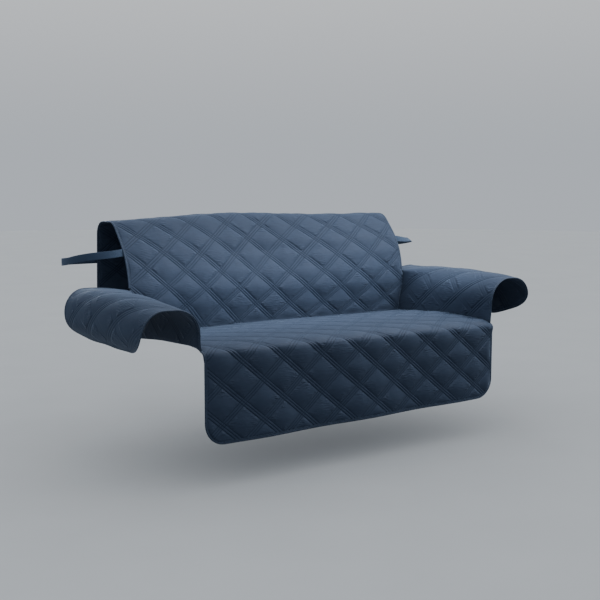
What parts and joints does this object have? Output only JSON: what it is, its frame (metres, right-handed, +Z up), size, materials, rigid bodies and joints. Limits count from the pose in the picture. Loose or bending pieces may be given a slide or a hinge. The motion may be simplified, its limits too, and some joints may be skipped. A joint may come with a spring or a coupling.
{
  "type": "sofa slipcover",
  "caption": "Quilted slipcover for a two-seat sofa, draped over the seat, the back and both rolled arms, with bound edges and an elastic strap round the back.",
  "frame": {"origin": "in the middle of the cover, just under the top of its back, where the sofa's back carries it", "axes": "+Z up, front of the sofa towards -Y, its left arm towards -X as the front is faced"},
  "size_m": [1.8237, 0.9102, 0.7664],
  "materials": {
    "quilted_cloth": "brushed microfibre with a soft sheen, slate blue, quilted in diamonds",
    "binding_tape": "plain bias tape, slightly more violet than the cloth",
    "elastic_strap": "ribbed woven elastic, matte"
  },
  "bodies": {
    "root": {"quilted_panel": "quilted_cloth", "arm_panel_left": "quilted_cloth", "arm_panel_right": "quilted_cloth", "binding_front": "binding_tape", "binding_rear": "binding_tape", "binding_arm_left": "binding_tape", "binding_arm_right": "binding_tape", "back_strap": "elastic_strap"}
  },
  "joints": []
}
